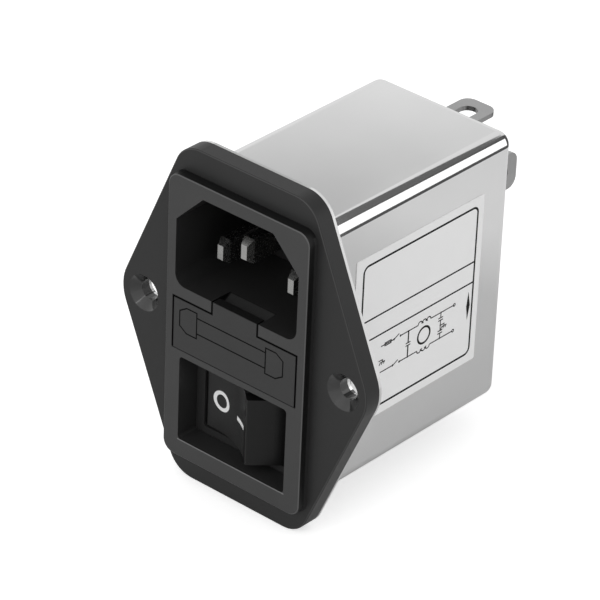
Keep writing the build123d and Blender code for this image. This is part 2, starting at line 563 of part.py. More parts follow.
def tail_places():
    """Where each flat tail of the front passes through the board, in x and z."""
    places = list(pin_places().values())
    places += [(side * CLIP_X, CLIP_FOOT_Z) for side in SIDES.values()]
    places += [(x, SWITCH_Z + z) for x in (0.0, -CONTACT_X) for z in POLES.values()]
    return places


def wire_places():
    """Where the three wires to the rear terminals pass through the board, in x and z."""
    return {
        "line": (LIVE_WIRE_X, LIVE_WIRE_Z),
        "neutral": (-LIVE_WIRE_X, LIVE_WIRE_Z),
        "earth": (0.0, EARTH_WIRE_Z),
    }


def filter_board():
    """Board across the can, with a square slot for every tail and a hole for every lead, wire and pin."""
    body = plate_y(BOARD_W, BOARD_H, BOARD_R, BOARD_Y, BOARD_BACK)
    for x in (-POST_X, POST_X):
        for z in (-POST_Z, POST_Z):
            body -= many_sided(POST_PIN_R + SEAT_GAP, BOARD_Y, BOARD_BACK, x, z)
    for x, z in tail_places():
        slot = Box(TAIL_SLOT, BOARD_T, TAIL_SLOT)
        body -= Pos(x, BOARD_Y + BOARD_T / 2, z) * slot
    for x, z in lead_places().values():
        body -= many_sided(LEAD_HOLE_R, BOARD_Y, BOARD_BACK, x, z)
    for x, z in wire_places().values():
        body -= many_sided(WIRE_HOLE_R, BOARD_Y, BOARD_BACK, x, z)
    return body


def choke_core():
    """Ring core with bevelled edges."""
    ring = Circle(CORE_R) - Circle(CORE_BORE_R)
    body = prism_y(ring, CHOKE_Y, CHOKE_Y + CORE_H)
    rims = body.edges().filter_by(GeomType.CIRCLE)
    return Pos(0, 0, CHOKE_Z) * chamfer(rims, CORE_BEVEL)


def bent_wire(points, radius, sides=WIRE_SIDES):
    """Wire with sharp bends through a list of points, with a many-sided section."""
    path = Polyline(*points)
    section = Plane(path @ 0, z_dir=path % 0) * RegularPolygon(radius, sides)
    return sweep(section, path=path, transition=Transition.RIGHT)


def choke_winding(side):
    """One winding: turns laid side by side round the core, with two leads through the board."""
    outer, inner = CORE_R + WINDING_GAP + WIRE_R, CORE_BORE_R - WINDING_GAP - WIRE_R
    front, back = CHOKE_Y - WINDING_GAP - WIRE_R, CHOKE_Y + CORE_H + WINDING_GAP + WIRE_R
    start, finish = winding_angles()
    step = (finish - start) / WINDING_TURNS

    def at(radius, angle, y):
        turn = math.radians(angle)
        return (side * radius * math.cos(turn), y, CHOKE_Z + radius * math.sin(turn))

    points = [at(outer, start, LEAD_END), at(outer, start, back)]
    for n in range(WINDING_TURNS):
        middle = start + (n + 0.5) * step
        points += [at(inner, middle, back), at(inner, middle, front)]
        if n < WINDING_TURNS - 1:
            following = start + (n + 1) * step
            points += [at(outer, following, front), at(outer, following, back)]
    points += [at(outer, finish, front), at(outer, finish, LEAD_END)]
    return bent_wire(points, WIRE_R)


def choke_divider():
    """Plate through the core that keeps the windings apart, with a foot notched round a solder tail."""
    half = DIVIDER_T / 2
    tongue = math.sqrt((CORE_BORE_R - DIVIDER_GAP) ** 2 - half**2)
    foot = block(-half, half, BOARD_BACK, CHOKE_Y, -DIVIDER_FOOT_Z, DIVIDER_FOOT_Z)
    blade = block(-half, half, CHOKE_Y, CHOKE_Y + CORE_H + DIVIDER_OUT, -tongue, tongue)
    tail_z, notch = SWITCH_Z + POLES["line"], TAIL_W / 2 + DIVIDER_GAP
    clear = block(-half, half, BOARD_BACK, TAIL_END + DIVIDER_GAP, tail_z - notch, tail_z + notch)
    return Pos(0, 0, CHOKE_Z) * (foot + blade) - clear


def x_capacitor():
    """Boxed film capacitor that stands on the board."""
    half = XCAP_W / 2
    body = block(-half, half, BOARD_BACK, BOARD_BACK + XCAP_H, XCAP_Z - XCAP_T / 2, XCAP_Z + XCAP_T / 2)
    upper_edges = body.edges().filter_by(lambda edge: edge.center().Y > BOARD_BACK + SEAT_GAP)
    return chamfer(upper_edges, XCAP_BEVEL)


def straight_lead(place, y1):
    """Lead that passes through the board."""
    return many_sided(LEAD_R, LEAD_END, y1, *place)


def y_capacitor(side):
    """Disc capacitor, thickest in its middle."""
    body = rod_z(YCAP_R, YCAP_Z - YCAP_T / 2, YCAP_Z + YCAP_T / 2, side * YCAP_X, YCAP_Y)
    return chamfer(body.edges().filter_by(GeomType.CIRCLE), YCAP_BEVEL)


def bleed_resistor():
    """Body of the resistor that drains the mains capacitor."""
    body = rod_x(BLEED_R, -BLEED_L / 2, BLEED_L / 2, BOARD_BACK + BLEED_R, BLEED_Z)
    return chamfer(body.edges().filter_by(GeomType.CIRCLE), BLEED_BEVEL)


def bleed_lead(side):
    """Bent lead from one end of the resistor into the board."""
    y = BOARD_BACK + BLEED_R
    x0, x1 = side * BLEED_L / 2, side * BLEED_PITCH / 2
    return bent_wire([(x0, y, BLEED_Z), (x1, y, BLEED_Z), (x1, LEAD_END, BLEED_Z)], LEAD_R)


def rear_wire(x, z):
    """Insulated wire from the board to a rear terminal, bare at both ends."""
    bare = many_sided(CORE_WIRE_R, LEAD_END, WIRE_END, x, z)
    return bare + many_sided(SLEEVE_R, BOARD_BACK + SEAT_GAP, SLEEVE_END, x, z)


def tab_outline(y0, y1, width):
    """Flat tab drawn along the depth, with rounded tip corners and a slot near the tip."""
    plate = Polygon((y0, -width / 2), (y1, -width / 2), (y1, width / 2), (y0, width / 2), align=None)
    tip = plate.vertices().sort_by(Axis.X)[-2:]
    plate = fillet(tip, TAB_TIP_R)
    middle = y1 - TAB_SLOT_EDGE - TAB_SLOT_L / 2
    return plate - Pos(middle, 0) * SlotOverall(TAB_SLOT_L, TAB_SLOT_W)


def live_terminal(side):
    """Upright solder tab through the back of the case, with shoulders inside and lances outside."""
    outside = CASE_DEPTH + INSULATOR_T
    inside = CASE_IN_BACK - WASHER_T
    tip = CASE_DEPTH + TAB_OUT
    flat = tab_outline(TAB_IN, tip, TAB_W)
    shoulder = Pos(inside - SHOULDER_L / 2, 0) * Rectangle(SHOULDER_L, SHOULDER_W)
    body = Pos(-TAB_T / 2, 0, 0) * extrude(Plane.YZ * (flat + shoulder), amount=TAB_T)
    wedge = Polygon((outside, 0), (outside + LANCE_L, 0), (outside, LANCE_H), align=None)
    lance = Pos(TAB_T / 2, 0, 0) * extrude(Plane.YX * wedge, amount=LANCE_W / 2, both=True)
    return Pos(side * LIVE_TAB_X, 0, LIVE_TAB_Z) * (body + lance + mirror(lance, Plane.YZ))


def terminal_insulator(side):
    """Moulded insulator outside the case, with a collar that fills the hole."""
    body = plate_y(INSULATOR_W, INSULATOR_H, INSULATOR_R, CASE_DEPTH, CASE_DEPTH + INSULATOR_T)
    body += plate_y(COLLAR_W, COLLAR_H, COLLAR_R, CASE_IN_BACK, CASE_DEPTH)
    return Pos(side * LIVE_TAB_X, 0, LIVE_TAB_Z) * (body - tab_slot())


def terminal_washer(side):
    """Flat insulating washer inside the case."""
    body = plate_y(INSULATOR_W, INSULATOR_H, INSULATOR_R, CASE_IN_BACK - WASHER_T, CASE_IN_BACK)
    return Pos(side * LIVE_TAB_X, 0, LIVE_TAB_Z) * (body - tab_slot())


def tab_slot():
    """Slot that a live tab passes through."""
    half_t, half_w = TAB_T / 2 + SEAT_GAP, TAB_W / 2 + SEAT_GAP
    return block(-half_t, half_t, TAB_IN, CASE_DEPTH + TAB_OUT, -half_w, half_w)


def earth_angle(base, tongue):
    """Bent strip in section: a base on the back of the case and a tongue along the depth."""
    out = 1 if tongue > base else -1
    top = EARTH_TAB_Z + TAB_T / 2
    upright = block(-TAB_W / 2, TAB_W / 2, *sorted((base, base + out * TAB_T)), EARTH_BASE_Z0, top)
    flat = tab_outline(0, abs(tongue - base), TAB_W)
    plane = Plane(origin=(0, base, top - TAB_T), x_dir=(0, out, 0), z_dir=(0, 0, 1))
    body = upright + extrude(plane * flat, amount=TAB_T)
    bend = body.edges().filter_by(Axis.X).filter_by(
        lambda edge: abs(edge.center().Y - base) < SEAT_GAP and edge.center().Z > EARTH_TAB_Z
    )
    body = fillet(bend, EARTH_BEND_R)
    hole0, hole1 = sorted((base, base + out * TAB_T))
    return body - rod_y(RIVET_R + COLLAR_FIT, hole0, hole1, 0, RIVET_Z)


def earth_rivet():
    """Rivet through the earth tab, the case and the inner lug."""
    inner, outer = CASE_IN_BACK - TAB_T, CASE_DEPTH + TAB_T
    body = rod_y(RIVET_R, inner, outer, 0, RIVET_Z)
    heads = []
    for y0, y1 in ((outer, outer + RIVET_HEAD_H), (inner - RIVET_HEAD_H, inner)):
        head = rod_y(RIVET_HEAD_R, y0, y1, 0, RIVET_Z)
        free = y1 if y0 == outer else y0
        rim = head.edges().filter_by(lambda edge: abs(edge.center().Y - free) < SEAT_GAP)
        heads.append(chamfer(rim.filter_by(GeomType.CIRCLE), RIVET_BEVEL))
    return body + heads[0] + heads[1]


def rating_label():
    """Thin printed label on the right side of the can."""
    height, length = LABEL_Z1 - LABEL_Z0, LABEL_Y1 - LABEL_Y0
    place = Pos(CASE_W / 2, (LABEL_Y0 + LABEL_Y1) / 2, (LABEL_Z0 + LABEL_Z1) / 2)
    return place * extrude(Plane.YZ * RectangleRounded(length, height, LABEL_R), amount=LABEL_T)


def fuse_parts(name, y):
    """Glass, element and two caps of one fuse."""
    return {
        f"{name}_glass": fuse_glass(y),
        f"{name}_element": fuse_element(y),
        f"{name}_cap_left": fuse_cap(y, -1),
        f"{name}_cap_right": fuse_cap(y, 1),
    }


def front_parts():
    """Pieces of the inlet, the fuse drawer and the switch."""
    places = pin_places()
    recess = {"line_pin": PIN_RECESS, "neutral_pin": PIN_RECESS, "earth_pin": EARTH_RECESS}
    parts = {"front_housing": front_housing(), "fuse_drawer": fuse_drawer()}
    parts.update({name: inlet_pin(*place, recess[name]) for name, place in places.items()})
    parts.update(fuse_parts("fuse", FUSE_Y))
    parts.update(fuse_parts("spare_fuse", SPARE_Y))
    parts["fuse_clip_line"] = fuse_clip(1)
    parts["fuse_clip_load"] = fuse_clip(-1)
    parts["switch_body"] = switch_body()
    parts["rocker"] = rocker()
    for name, z in POLES.items():
        parts[f"plunger_{name}"] = plunger(z)
        parts[f"plunger_spring_{name}"] = plunger_spring(z)
        parts[f"contact_bar_{name}"] = contact_bar(z)
        parts[f"common_terminal_{name}"] = common_terminal(z)
        parts[f"contact_terminal_{name}"] = contact_terminal(z)
    return parts


def filter_parts():
    """Pieces of the filter behind the front, in the can."""
    leads = lead_places()
    parts = {"metal_case": metal_case(), "filter_board": filter_board(), "choke_core": choke_core()}
    parts["choke_divider"] = choke_divider()
    parts["x_capacitor"] = x_capacitor()
    parts["bleed_resistor"] = bleed_resistor()
    for name, side in SIDES.items():
        parts[f"choke_winding_{name}"] = choke_winding(side)
        parts[f"x_capacitor_lead_{name}"] = straight_lead(leads[f"xcap_{name}"], BOARD_BACK)
        parts[f"bleed_lead_{name}"] = bleed_lead(side)
        disc = y_capacitor(side)
        parts[f"y_capacitor_{name}"] = disc
        for end, role in ((side, "live"), (-side, "earth")):
            lead = straight_lead(leads[f"ycap_{name}_{end}"], YCAP_Y) - disc
            parts[f"y_capacitor_{name}_{role}_lead"] = lead
        parts[f"{name}_terminal"] = live_terminal(side)
        parts[f"{name}_insulator"] = terminal_insulator(side)
        parts[f"{name}_washer"] = terminal_washer(side)
    for name, place in wire_places().items():
        parts[f"{name}_wire"] = rear_wire(*place)
    parts["earth_terminal"] = earth_angle(CASE_DEPTH, CASE_DEPTH + TAB_OUT)
    parts["earth_lug"] = earth_angle(CASE_IN_BACK, TAB_IN)
    parts["earth_rivet"] = earth_rivet()
    parts["rating_label"] = rating_label()
    return parts


os.makedirs("parts", exist_ok=True)
for node, shape in {**front_parts(), **filter_parts()}.items():
    export_step(shape, f"parts/{node}.step")
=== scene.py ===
import json
import math
import bpy
from mathutils import Matrix, Vector


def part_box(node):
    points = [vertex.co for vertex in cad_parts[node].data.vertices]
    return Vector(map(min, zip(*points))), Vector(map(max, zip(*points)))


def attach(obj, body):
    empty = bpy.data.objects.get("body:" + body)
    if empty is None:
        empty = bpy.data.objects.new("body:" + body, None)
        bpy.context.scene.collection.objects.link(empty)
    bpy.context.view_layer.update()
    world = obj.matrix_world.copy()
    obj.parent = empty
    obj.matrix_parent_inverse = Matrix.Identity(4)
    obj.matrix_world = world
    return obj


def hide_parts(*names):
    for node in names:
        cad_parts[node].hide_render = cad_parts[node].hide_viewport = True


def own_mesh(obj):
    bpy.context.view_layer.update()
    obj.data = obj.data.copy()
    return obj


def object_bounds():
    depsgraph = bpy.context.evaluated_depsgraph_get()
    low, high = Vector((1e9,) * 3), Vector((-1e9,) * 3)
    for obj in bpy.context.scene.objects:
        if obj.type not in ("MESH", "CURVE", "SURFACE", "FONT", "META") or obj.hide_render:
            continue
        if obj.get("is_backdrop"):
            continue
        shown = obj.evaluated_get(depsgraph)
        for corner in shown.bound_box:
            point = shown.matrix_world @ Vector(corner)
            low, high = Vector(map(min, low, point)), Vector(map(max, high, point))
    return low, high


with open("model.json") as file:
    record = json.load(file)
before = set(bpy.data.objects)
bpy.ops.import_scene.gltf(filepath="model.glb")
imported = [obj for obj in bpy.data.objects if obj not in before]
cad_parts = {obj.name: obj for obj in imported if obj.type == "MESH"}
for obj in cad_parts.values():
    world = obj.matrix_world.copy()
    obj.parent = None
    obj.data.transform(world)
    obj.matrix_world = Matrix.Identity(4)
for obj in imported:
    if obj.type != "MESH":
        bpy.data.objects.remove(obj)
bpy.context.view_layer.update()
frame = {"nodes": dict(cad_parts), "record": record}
MM = 0.001

# Camera: place in metres, then the angles of its line of sight in degrees
CAMERA_PLACE = Vector((0.33017, -0.37923, 0.30697))
CAMERA_AZIMUTH, CAMERA_ELEVATION, CAMERA_ROLL = 40.34, 30.90, 2.45
LENS_MM, SENSOR_MM = 236.94, 36.0

# Floor: size in metres, colour, brightness to the camera, the painted glow that mirrors see on it,
# darker near the part as painted shade, and the slanted line behind the part from which that
# mirrored glow brightens
FLOOR_SIZE = 4.0
FLOOR_COLOUR, FLOOR_LIFT = 0.78, 0.55
FLOOR_MIRROR_SHADE, FLOOR_MIRROR_GLOW = 0.03, 0.24
FAR_START, FAR_RUN, FAR_SLANT = 83 * MM, 22 * MM, 0.3

# Light: strength of the surroundings where they only shine on things, and two square lamps in
# metres and watts
SKY_LIGHT = 0.70
LAMP_TARGET = Vector((0.0, 0.01, 0.0))
KEY_PLACE, KEY_SIZE, KEY_POWER = Vector((-0.15, -1.05, 0.5)), 0.7, 4.3
FILL_PLACE, FILL_SIZE, FILL_POWER = Vector((0.9, -0.3, 0.5)), 0.5, 1.2

# Can: half width, half height, depth and radius of its long edges
CAN_HALF_W, CAN_HALF_H, CAN_DEPTH, CAN_R = 13.6 * MM, 23.4 * MM, 42.0 * MM, 2.2 * MM

# Cards mirrored in the can's upper right edge: the turns from its top to its side at its front
# and at its rear, the last tilt round its rear corner, the reach in metres and the brightness
EDGE_CARDS = (
    ("card_frame", (36, 88), (34, 88), 30, 0.092, 0.11),
    ("card_upper", (8, 39), (27, 43), 0, 0.089, 0.17),
    ("card_white", (42, 76), (49, 77), 8, 0.085, 1.7),
)
CARD_STEPS, TILT_STEPS = 10, 4

# Card mirrored in the can's top: reach, how far it goes past both ends, and its brightness, which
# climbs towards the rear left
TOP_REACH, TOP_BEFORE, TOP_BEYOND = 0.15, 10 * MM, 4 * MM
TOP_DARK, TOP_BRIGHT = 0.50, 1.12
CLIMB_X, CLIMB_Y = -0.65, 0.76

# Rocker, in its own level frame: middle of the tilt, start of its end face, marks on its face
PIVOT = (0.0, 4.3 * MM, -13.85 * MM)
ROCKER_TILT, ROCKER_END = 20.0, 4.5 * MM
RING_X, RING_Z, RING_OUTER, RING_INNER = -3.35 * MM, -0.2 * MM, 1.75 * MM, 1.12 * MM
BAR_X, BAR_Z, BAR_HALF_L, BAR_HALF_W = 2.4 * MM, -0.80 * MM, 1.5 * MM, 0.38 * MM
MARK_DEPTH = -6.0 * MM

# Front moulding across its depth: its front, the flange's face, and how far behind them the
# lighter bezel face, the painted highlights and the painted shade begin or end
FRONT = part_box("front_housing")[0].y
FLANGE_FACE = FRONT + 1.7 * MM
FACE_DEPTH, SHADE_DEPTH, SINK_DEPTH, SILL_DEPTH = 0.05 * MM, 1.15 * MM, 1.72 * MM, 0.25 * MM
EDGE_NEAR, EDGE_FAR = 0.02 * MM, 0.17 * MM
SIDE_STOP, RIM_NEAR, RIM_FAR = -0.01 * MM, 0.02 * MM, 0.12 * MM

# Front moulding from the front: ends of the bezel and the inlet, bays, sill and screw holes
BEZEL_END, INLET_END = 23.5 * MM, 23.0 * MM
BAY_HALF_W, SWITCH_BAY_HALF_W = 12.35 * MM, 10.9 * MM
SILL_Z, SILL_HALF = -21.3 * MM, 0.09 * MM
SCREW_X, SCREW_HEAD_R = 20.0 * MM, 3.1 * MM

# Fuse drawer: its face, its tongue, and the band of painted shade inside and outside their outline
FACE_HALF_W, FACE_Z0, FACE_Z1 = 12.2 * MM, -5.35 * MM, 3.45 * MM
TONGUE_HALF_W, TONGUE_Z1 = 4.4 * MM, 5.7 * MM
GAP_IN, GAP_OUT = 0.08 * MM, 0.34 * MM

# Grey levels of the black mouldings, of the painted highlights on their edges, of the painted
# shade on their sides, in their recesses, along the drawer's gap and on the rocker's end, and of
# the rocker's marks
PLAIN_GREY, BEZEL_GREY, EDGE_HIGHLIGHT_GREY, SIDE_SHADE_GREY, RIM_HIGHLIGHT_GREY = 0.020, 0.042, 0.085, 0.003, 0.045
SINK_SHADE_GREY, INLET_SHADE_GREY, SILL_HIGHLIGHT_GREY, GAP_SHADE_GREY = 0.010, 0.017, 0.16, 0.001
DRAWER_GREY, INNER_SHADE_GREY = 0.031, 0.008
ROCKER_GREY, ROCKER_END_SHADE_GREY, MARK_GREY = 0.024, 0.006, 0.80

# Earth wire: where the yellow stripe of its sleeve starts
STRIPE_X = 0.2 * MM


class Value:
    """A shader socket in arithmetic with other sockets and with numbers.

    A comparison gives 1 or 0, & gives the smaller and | the larger of two values.
    """

    def __init__(self, tree, socket):
        self.tree = tree
        self.socket = socket

    def _math(self, operation, first, second=None):
        feeds = {0: first} if second is None else {0: first, 1: second}
        return self.tree.node("ShaderNodeMath", {"operation": operation}, feeds)

    def __add__(self, other):
        return self._math("ADD", self, other)

    def __radd__(self, other):
        return self._math("ADD", other, self)

    def __sub__(self, other):
        return self._math("SUBTRACT", self, other)

    def __rsub__(self, other):
        return self._math("SUBTRACT", other, self)

    def __mul__(self, other):
        return self._math("MULTIPLY", self, other)

    def __rmul__(self, other):
        return self._math("MULTIPLY", other, self)

    def __truediv__(self, other):
        return self._math("DIVIDE", self, other)

    def __rtruediv__(self, other):
        return self._math("DIVIDE", other, self)

    def __abs__(self):
        return self._math("ABSOLUTE", self)

    def __lt__(self, other):
        return self._math("LESS_THAN", self, other)

    def __gt__(self, other):
        return self._math("GREATER_THAN", self, other)

    def __and__(self, other):
        return self._math("MINIMUM", self, other)

    def __rand__(self, other):
        return self._math("MINIMUM", other, self)

    def __or__(self, other):
        return self._math("MAXIMUM", self, other)

    def __ror__(self, other):
        return self._math("MAXIMUM", other, self)

    def root(self):
        return self._math("SQRT", self)


class Tree:
    """A node tree, with one method that adds a node of any type."""

    def __init__(self, tree):
        self.tree = tree

    def node(self, kind, settings=None, feeds=None, output=0):
        """Add a node: settings first, then values or links for its sockets."""
        made = self.tree.nodes.new(kind)
        for key, value in (settings or {}).items():
            setattr(made, key, value)
        for key, value in (feeds or {}).items():
            self.feed(made.inputs[key], value)
        return Value(self, made.outputs[output])

    def feed(self, socket, value):
        """Link a socket to a value, or give it a constant."""
        if isinstance(value, Value):
            self.tree.links.new(value.socket, socket)
        else:
            socket.default_value = value

    def ray(self, kind):
        """1 for rays of one kind: Camera, Glossy or Transmission."""
        return self.node("ShaderNodeLightPath", output="Is " + kind + " Ray")


class Finish(Tree):
    """One material: its node tree, its shader and the helpers that feed them."""

    def __init__(self, name, metallic=0.0, roughness=0.5):
        self.material = bpy.data.materials.new(name)
        self.material.use_nodes = True
        super().__init__(self.material.node_tree)
        self.shader = self.tree.nodes["Principled BSDF"]
        self.set(Metallic=metallic, Roughness=roughness)

    def set(self, **values):
        """Feed the shader's sockets, named with underscores for blanks."""
        for key, value in values.items():
            self.feed(self.shader.inputs[key.replace("_", " ")], value)

    def place(self):
        """Position on the piece at rest, in metres, in the row frame."""
        return self.node("ShaderNodeTexCoord", output="Object")

    def xyz(self):
        """The three coordinates of the position."""
        split = self.node("ShaderNodeSeparateXYZ", feeds={0: self.place()}).socket.node
        return [Value(self, socket) for socket in split.outputs]

    def stretched(self, scale):
        """Position multiplied axis by axis."""
        feeds = {0: self.place(), 1: scale}
        return self.node("ShaderNodeVectorMath", {"operation": "MULTIPLY"}, feeds)

    def noise(self, scale, detail=3.0, vector=None):
        """Cloudy noise, with its scale in features per metre."""
        feeds = {"Vector": vector or self.place(), "Scale": scale, "Detail": detail, "Roughness": 0.55}
        return self.node("ShaderNodeTexNoise", feeds=feeds)

    def colours(self, factor, first, second):
        """Colour mixed from two by a factor."""
        feeds = {0: factor, 6: first, 7: second}
        return self.node("ShaderNodeMix", {"data_type": "RGBA"}, feeds, output=2)

    def relief(self, height, depth):
        """Normal that follows a height between 0 and 1, with its depth in metres."""
        feeds = {"Height": height, "Distance": depth, "Strength": 1.0}
        self.set(Normal=self.node("ShaderNodeBump", feeds=feeds))


class Moulding(Finish):
    """Black moulded plastic: fine grain, worn sheen and faint clouding of its colour."""

    def __init__(self, name, roughness):
        super().__init__(name)
        self.cloud = self.noise(180.0)
        grains = self.noise(9000.0, detail=2.0)
        self.set(Roughness=roughness + (self.cloud - 0.5) * 0.08 + (grains - 0.5) * 0.06)
        self.set(Specular_IOR_Level=0.25)
        self.relief(grains, 0.005 * MM)

    def clouded(self, level):
        """Grey with the faint clouding."""
        return self.colours(self.cloud, grey(level * 0.9), grey(level * 1.1))

    def layered(self, level, layers):
        """Clouded grey, with another level wherever a layer's mask is 1, the last one on top."""
        colour = self.clouded(level)
        for mask, other in layers:
            colour = self.colours(mask, colour, self.clouded(other))
        return colour


def grey(level):
    """Neutral colour."""
    return (level, level, level, 1.0)


def shade(colour, share):
    """Colour at a share of its brightness."""
    return (*(part * share for part in colour), 1.0)


def distance(u, v):
    """Length of a step with two coordinates."""
    return (u * u + v * v).root()


def drawer_gap(x, z):
    """1 in the narrow band of painted shade along the drawer's outline, which is open along its lower
    edge.
    """
    middle = (FACE_Z0 + FACE_Z1) / 2
    panel = (abs(x) - FACE_HALF_W) | (abs(z - middle) - (FACE_Z1 - middle))
    tongue = (abs(x) - TONGUE_HALF_W) | (abs(z - FACE_Z1) - (TONGUE_Z1 - FACE_Z1))
    beyond = panel & tongue
    return (beyond > -GAP_IN) & (beyond < GAP_OUT) & (z > FACE_Z0) & (z < TONGUE_Z1)


def housing_plastic():
    """Flange and shroud moulding: light bezel face, painted shade in bays and on sides, painted edge
    highlights.
    """
    finish = Moulding("housing_plastic", 0.42)
    x, y, z = finish.xyz()
    behind = y - FRONT
    outer = (abs(x) > BAY_HALF_W) | (abs(z) > BEZEL_END)
    edge = (behind > EDGE_NEAR) & (behind < EDGE_FAR) & outer
    countersink = (distance(abs(x) - SCREW_X, z) < SCREW_HEAD_R) & (behind > SINK_DEPTH)
    rim = (y > FLANGE_FACE + RIM_NEAR) & (y < FLANGE_FACE + RIM_FAR) & outer & (1 - countersink)
    shaded = (behind < SHADE_DEPTH) | (z > BEZEL_END)
    side = (behind > EDGE_FAR) & (y < FLANGE_FACE + SIDE_STOP) & outer & shaded
    inlet = (behind > FACE_DEPTH) & (abs(x) < BAY_HALF_W) & (z > FACE_Z1) & (z < INLET_END)
    sill = (abs(z - SILL_Z) < SILL_HALF) & (behind < SILL_DEPTH) & (abs(x) < SWITCH_BAY_HALF_W)
    layers = (
        (behind < FACE_DEPTH, BEZEL_GREY),
        # painted highlight along the bezel's edge
        (edge, EDGE_HIGHLIGHT_GREY),
        # painted shade on the bezel's sides next to the flange
        (side, SIDE_SHADE_GREY),
        # painted highlight along the front edge of the flange's face
        (rim, RIM_HIGHLIGHT_GREY),
        # painted shade in the countersinks' recess
        (countersink, SINK_SHADE_GREY),
        # painted shade inside the inlet's cavity
        (inlet, INLET_SHADE_GREY),
        # painted highlight along the bottom edge of the switch bay
        (sill, SILL_HIGHLIGHT_GREY),
        # painted shade in the gap round the drawer
        (drawer_gap(x, z), GAP_SHADE_GREY),
    )
    finish.set(Base_Color=finish.layered(PLAIN_GREY, layers))
    finish.set(Coat_Weight=countersink, Coat_Roughness=0.08)
    return finish.material


def drawer_plastic():
    """Fuse drawer: the same moulding, with painted shade along its outline and behind its face."""
    finish = Moulding("drawer_plastic", 0.42)
    x, y, z = finish.xyz()
    # painted shade behind the drawer's face and along its outline
    layers = ((y > FRONT + FACE_DEPTH, INNER_SHADE_GREY), (drawer_gap(x, z), GAP_SHADE_GREY))
    finish.set(Base_Color=finish.layered(DRAWER_GREY, layers))
    return finish.material


def rocker_plastic():
    """Rocker: smooth black, with painted shade on its end face, and a white ring and a white bar."""
    finish = Moulding("rocker_plastic", 0.34)
    turn = math.radians(ROCKER_TILT)
    x, y, z = finish.xyz()
    dx, dy, dz = x - PIVOT[0], y - PIVOT[1], z - PIVOT[2]
    along = dx * math.cos(turn) - dy * math.sin(turn)
    depth = dx * math.sin(turn) + dy * math.cos(turn)
    from_ring = distance(along - RING_X, dz - RING_Z)
    ring = (from_ring < RING_OUTER) & (from_ring > RING_INNER)
    bar = (abs(along - BAR_X) < BAR_HALF_L) & (abs(dz - BAR_Z) < BAR_HALF_W)
    paint = (ring | bar) & (depth < MARK_DEPTH)
    # painted shade on the rocker's end face
    plain = finish.layered(ROCKER_GREY, ((along > ROCKER_END, ROCKER_END_SHADE_GREY),))
    finish.set(Base_Color=finish.colours(paint, plain, grey(MARK_GREY)))
    return finish.material


def drawn_steel():
    """Plated sheet steel of the can: bright, with fine draw lines and faint clouding."""
    finish = Finish("drawn_steel", metallic=1.0)
    lines = finish.noise(1.0, detail=4.0, vector=finish.stretched((9000.0, 260.0, 9000.0)))
    cloud = finish.noise(70.0)
    finish.set(Base_Color=finish.colours(cloud, grey(0.64), grey(0.70)))
    finish.set(Roughness=0.09 + (cloud - 0.5) * 0.03 + (lines - 0.5) * 0.02)
    finish.relief(lines, 0.0004 * MM)
    return finish.material


def label_film():
    """Pale satin film of the rating label."""
    finish = Finish("label_film")
    fibres = finish.noise(5200.0, detail=4.0)
    cloud = finish.noise(120.0)
    finish.set(Base_Color=finish.colours(cloud, grey(0.88), grey(0.92)))
    finish.set(Roughness=0.42 + (fibres - 0.5) * 0.12)
    finish.relief(fibres, 0.002 * MM)
    return finish.material


def print_ink():
    """Black print on the label."""
    finish = Finish("print_ink")
    specks = finish.noise(7000.0)
    finish.set(Base_Color=finish.colours(specks, grey(0.004), grey(0.010)))
    finish.set(Roughness=0.40 + specks * 0.2, Specular_IOR_Level=0.1)
    return finish.material


def groove_shade():
    """Painted shade: deep black thin lines that stand in for the shade in the fine grooves that draw
    the fuse.
    """
    finish = Finish("groove_shade", roughness=0.8)
    finish.set(Base_Color=finish.colours(finish.noise(900.0), grey(0.002), grey(0.004)))
    finish.set(Specular_IOR_Level=0.05)
    return finish.material


def metal(name, colour, roughness):
    """Plain metal with fine marks, cloudy between its colour and a duller one."""
    finish = Finish(name, metallic=1.0)
    marks = finish.noise(2600.0, detail=4.0)
    cloud = finish.noise(240.0)
    finish.set(Base_Color=finish.colours(cloud, shade(colour, 0.8), shade(colour, 1.0)))
    finish.set(Roughness=roughness + (marks - 0.5) * 0.12)
    finish.relief(marks, 0.002 * MM)
    return finish.material


def solid(name, colour, roughness):
    """Plain plastic, lacquer or ceramic, mottled between its colour and a darker one."""
    finish = Finish(name)
    cloud = finish.noise(420.0)
    finish.set(Base_Color=finish.colours(cloud, shade(colour, 0.85), shade(colour, 1.0)))
    finish.set(Roughness=roughness + (cloud - 0.5) * 0.1)
    finish.relief(finish.noise(4000.0), 0.003 * MM)
    return finish.material


def fuse_glass():
    """Clear glass tube of a fuse."""
    finish = Finish("fuse_glass")
    haze = finish.noise(500.0)
    finish.set(Base_Color=finish.colours(haze, (0.93, 0.96, 0.95, 1.0), (0.98, 1.0, 0.99, 1.0)))
    finish.set(Roughness=0.02 + haze * 0.04, Transmission_Weight=1.0, IOR=1.5)
    return finish.material


def striped_sleeve():
    """Green sleeve with a yellow stripe."""
    finish = Finish("wire_green", roughness=0.45)
    stripe = finish.xyz()[0] > STRIPE_X
    green = finish.colours(finish.noise(600.0), (0.03, 0.20, 0.04, 1.0), (0.05, 0.28, 0.06, 1.0))
    finish.set(Base_Color=finish.colours(stripe, green, (0.75, 0.62, 0.05, 1.0)))
    return finish.material


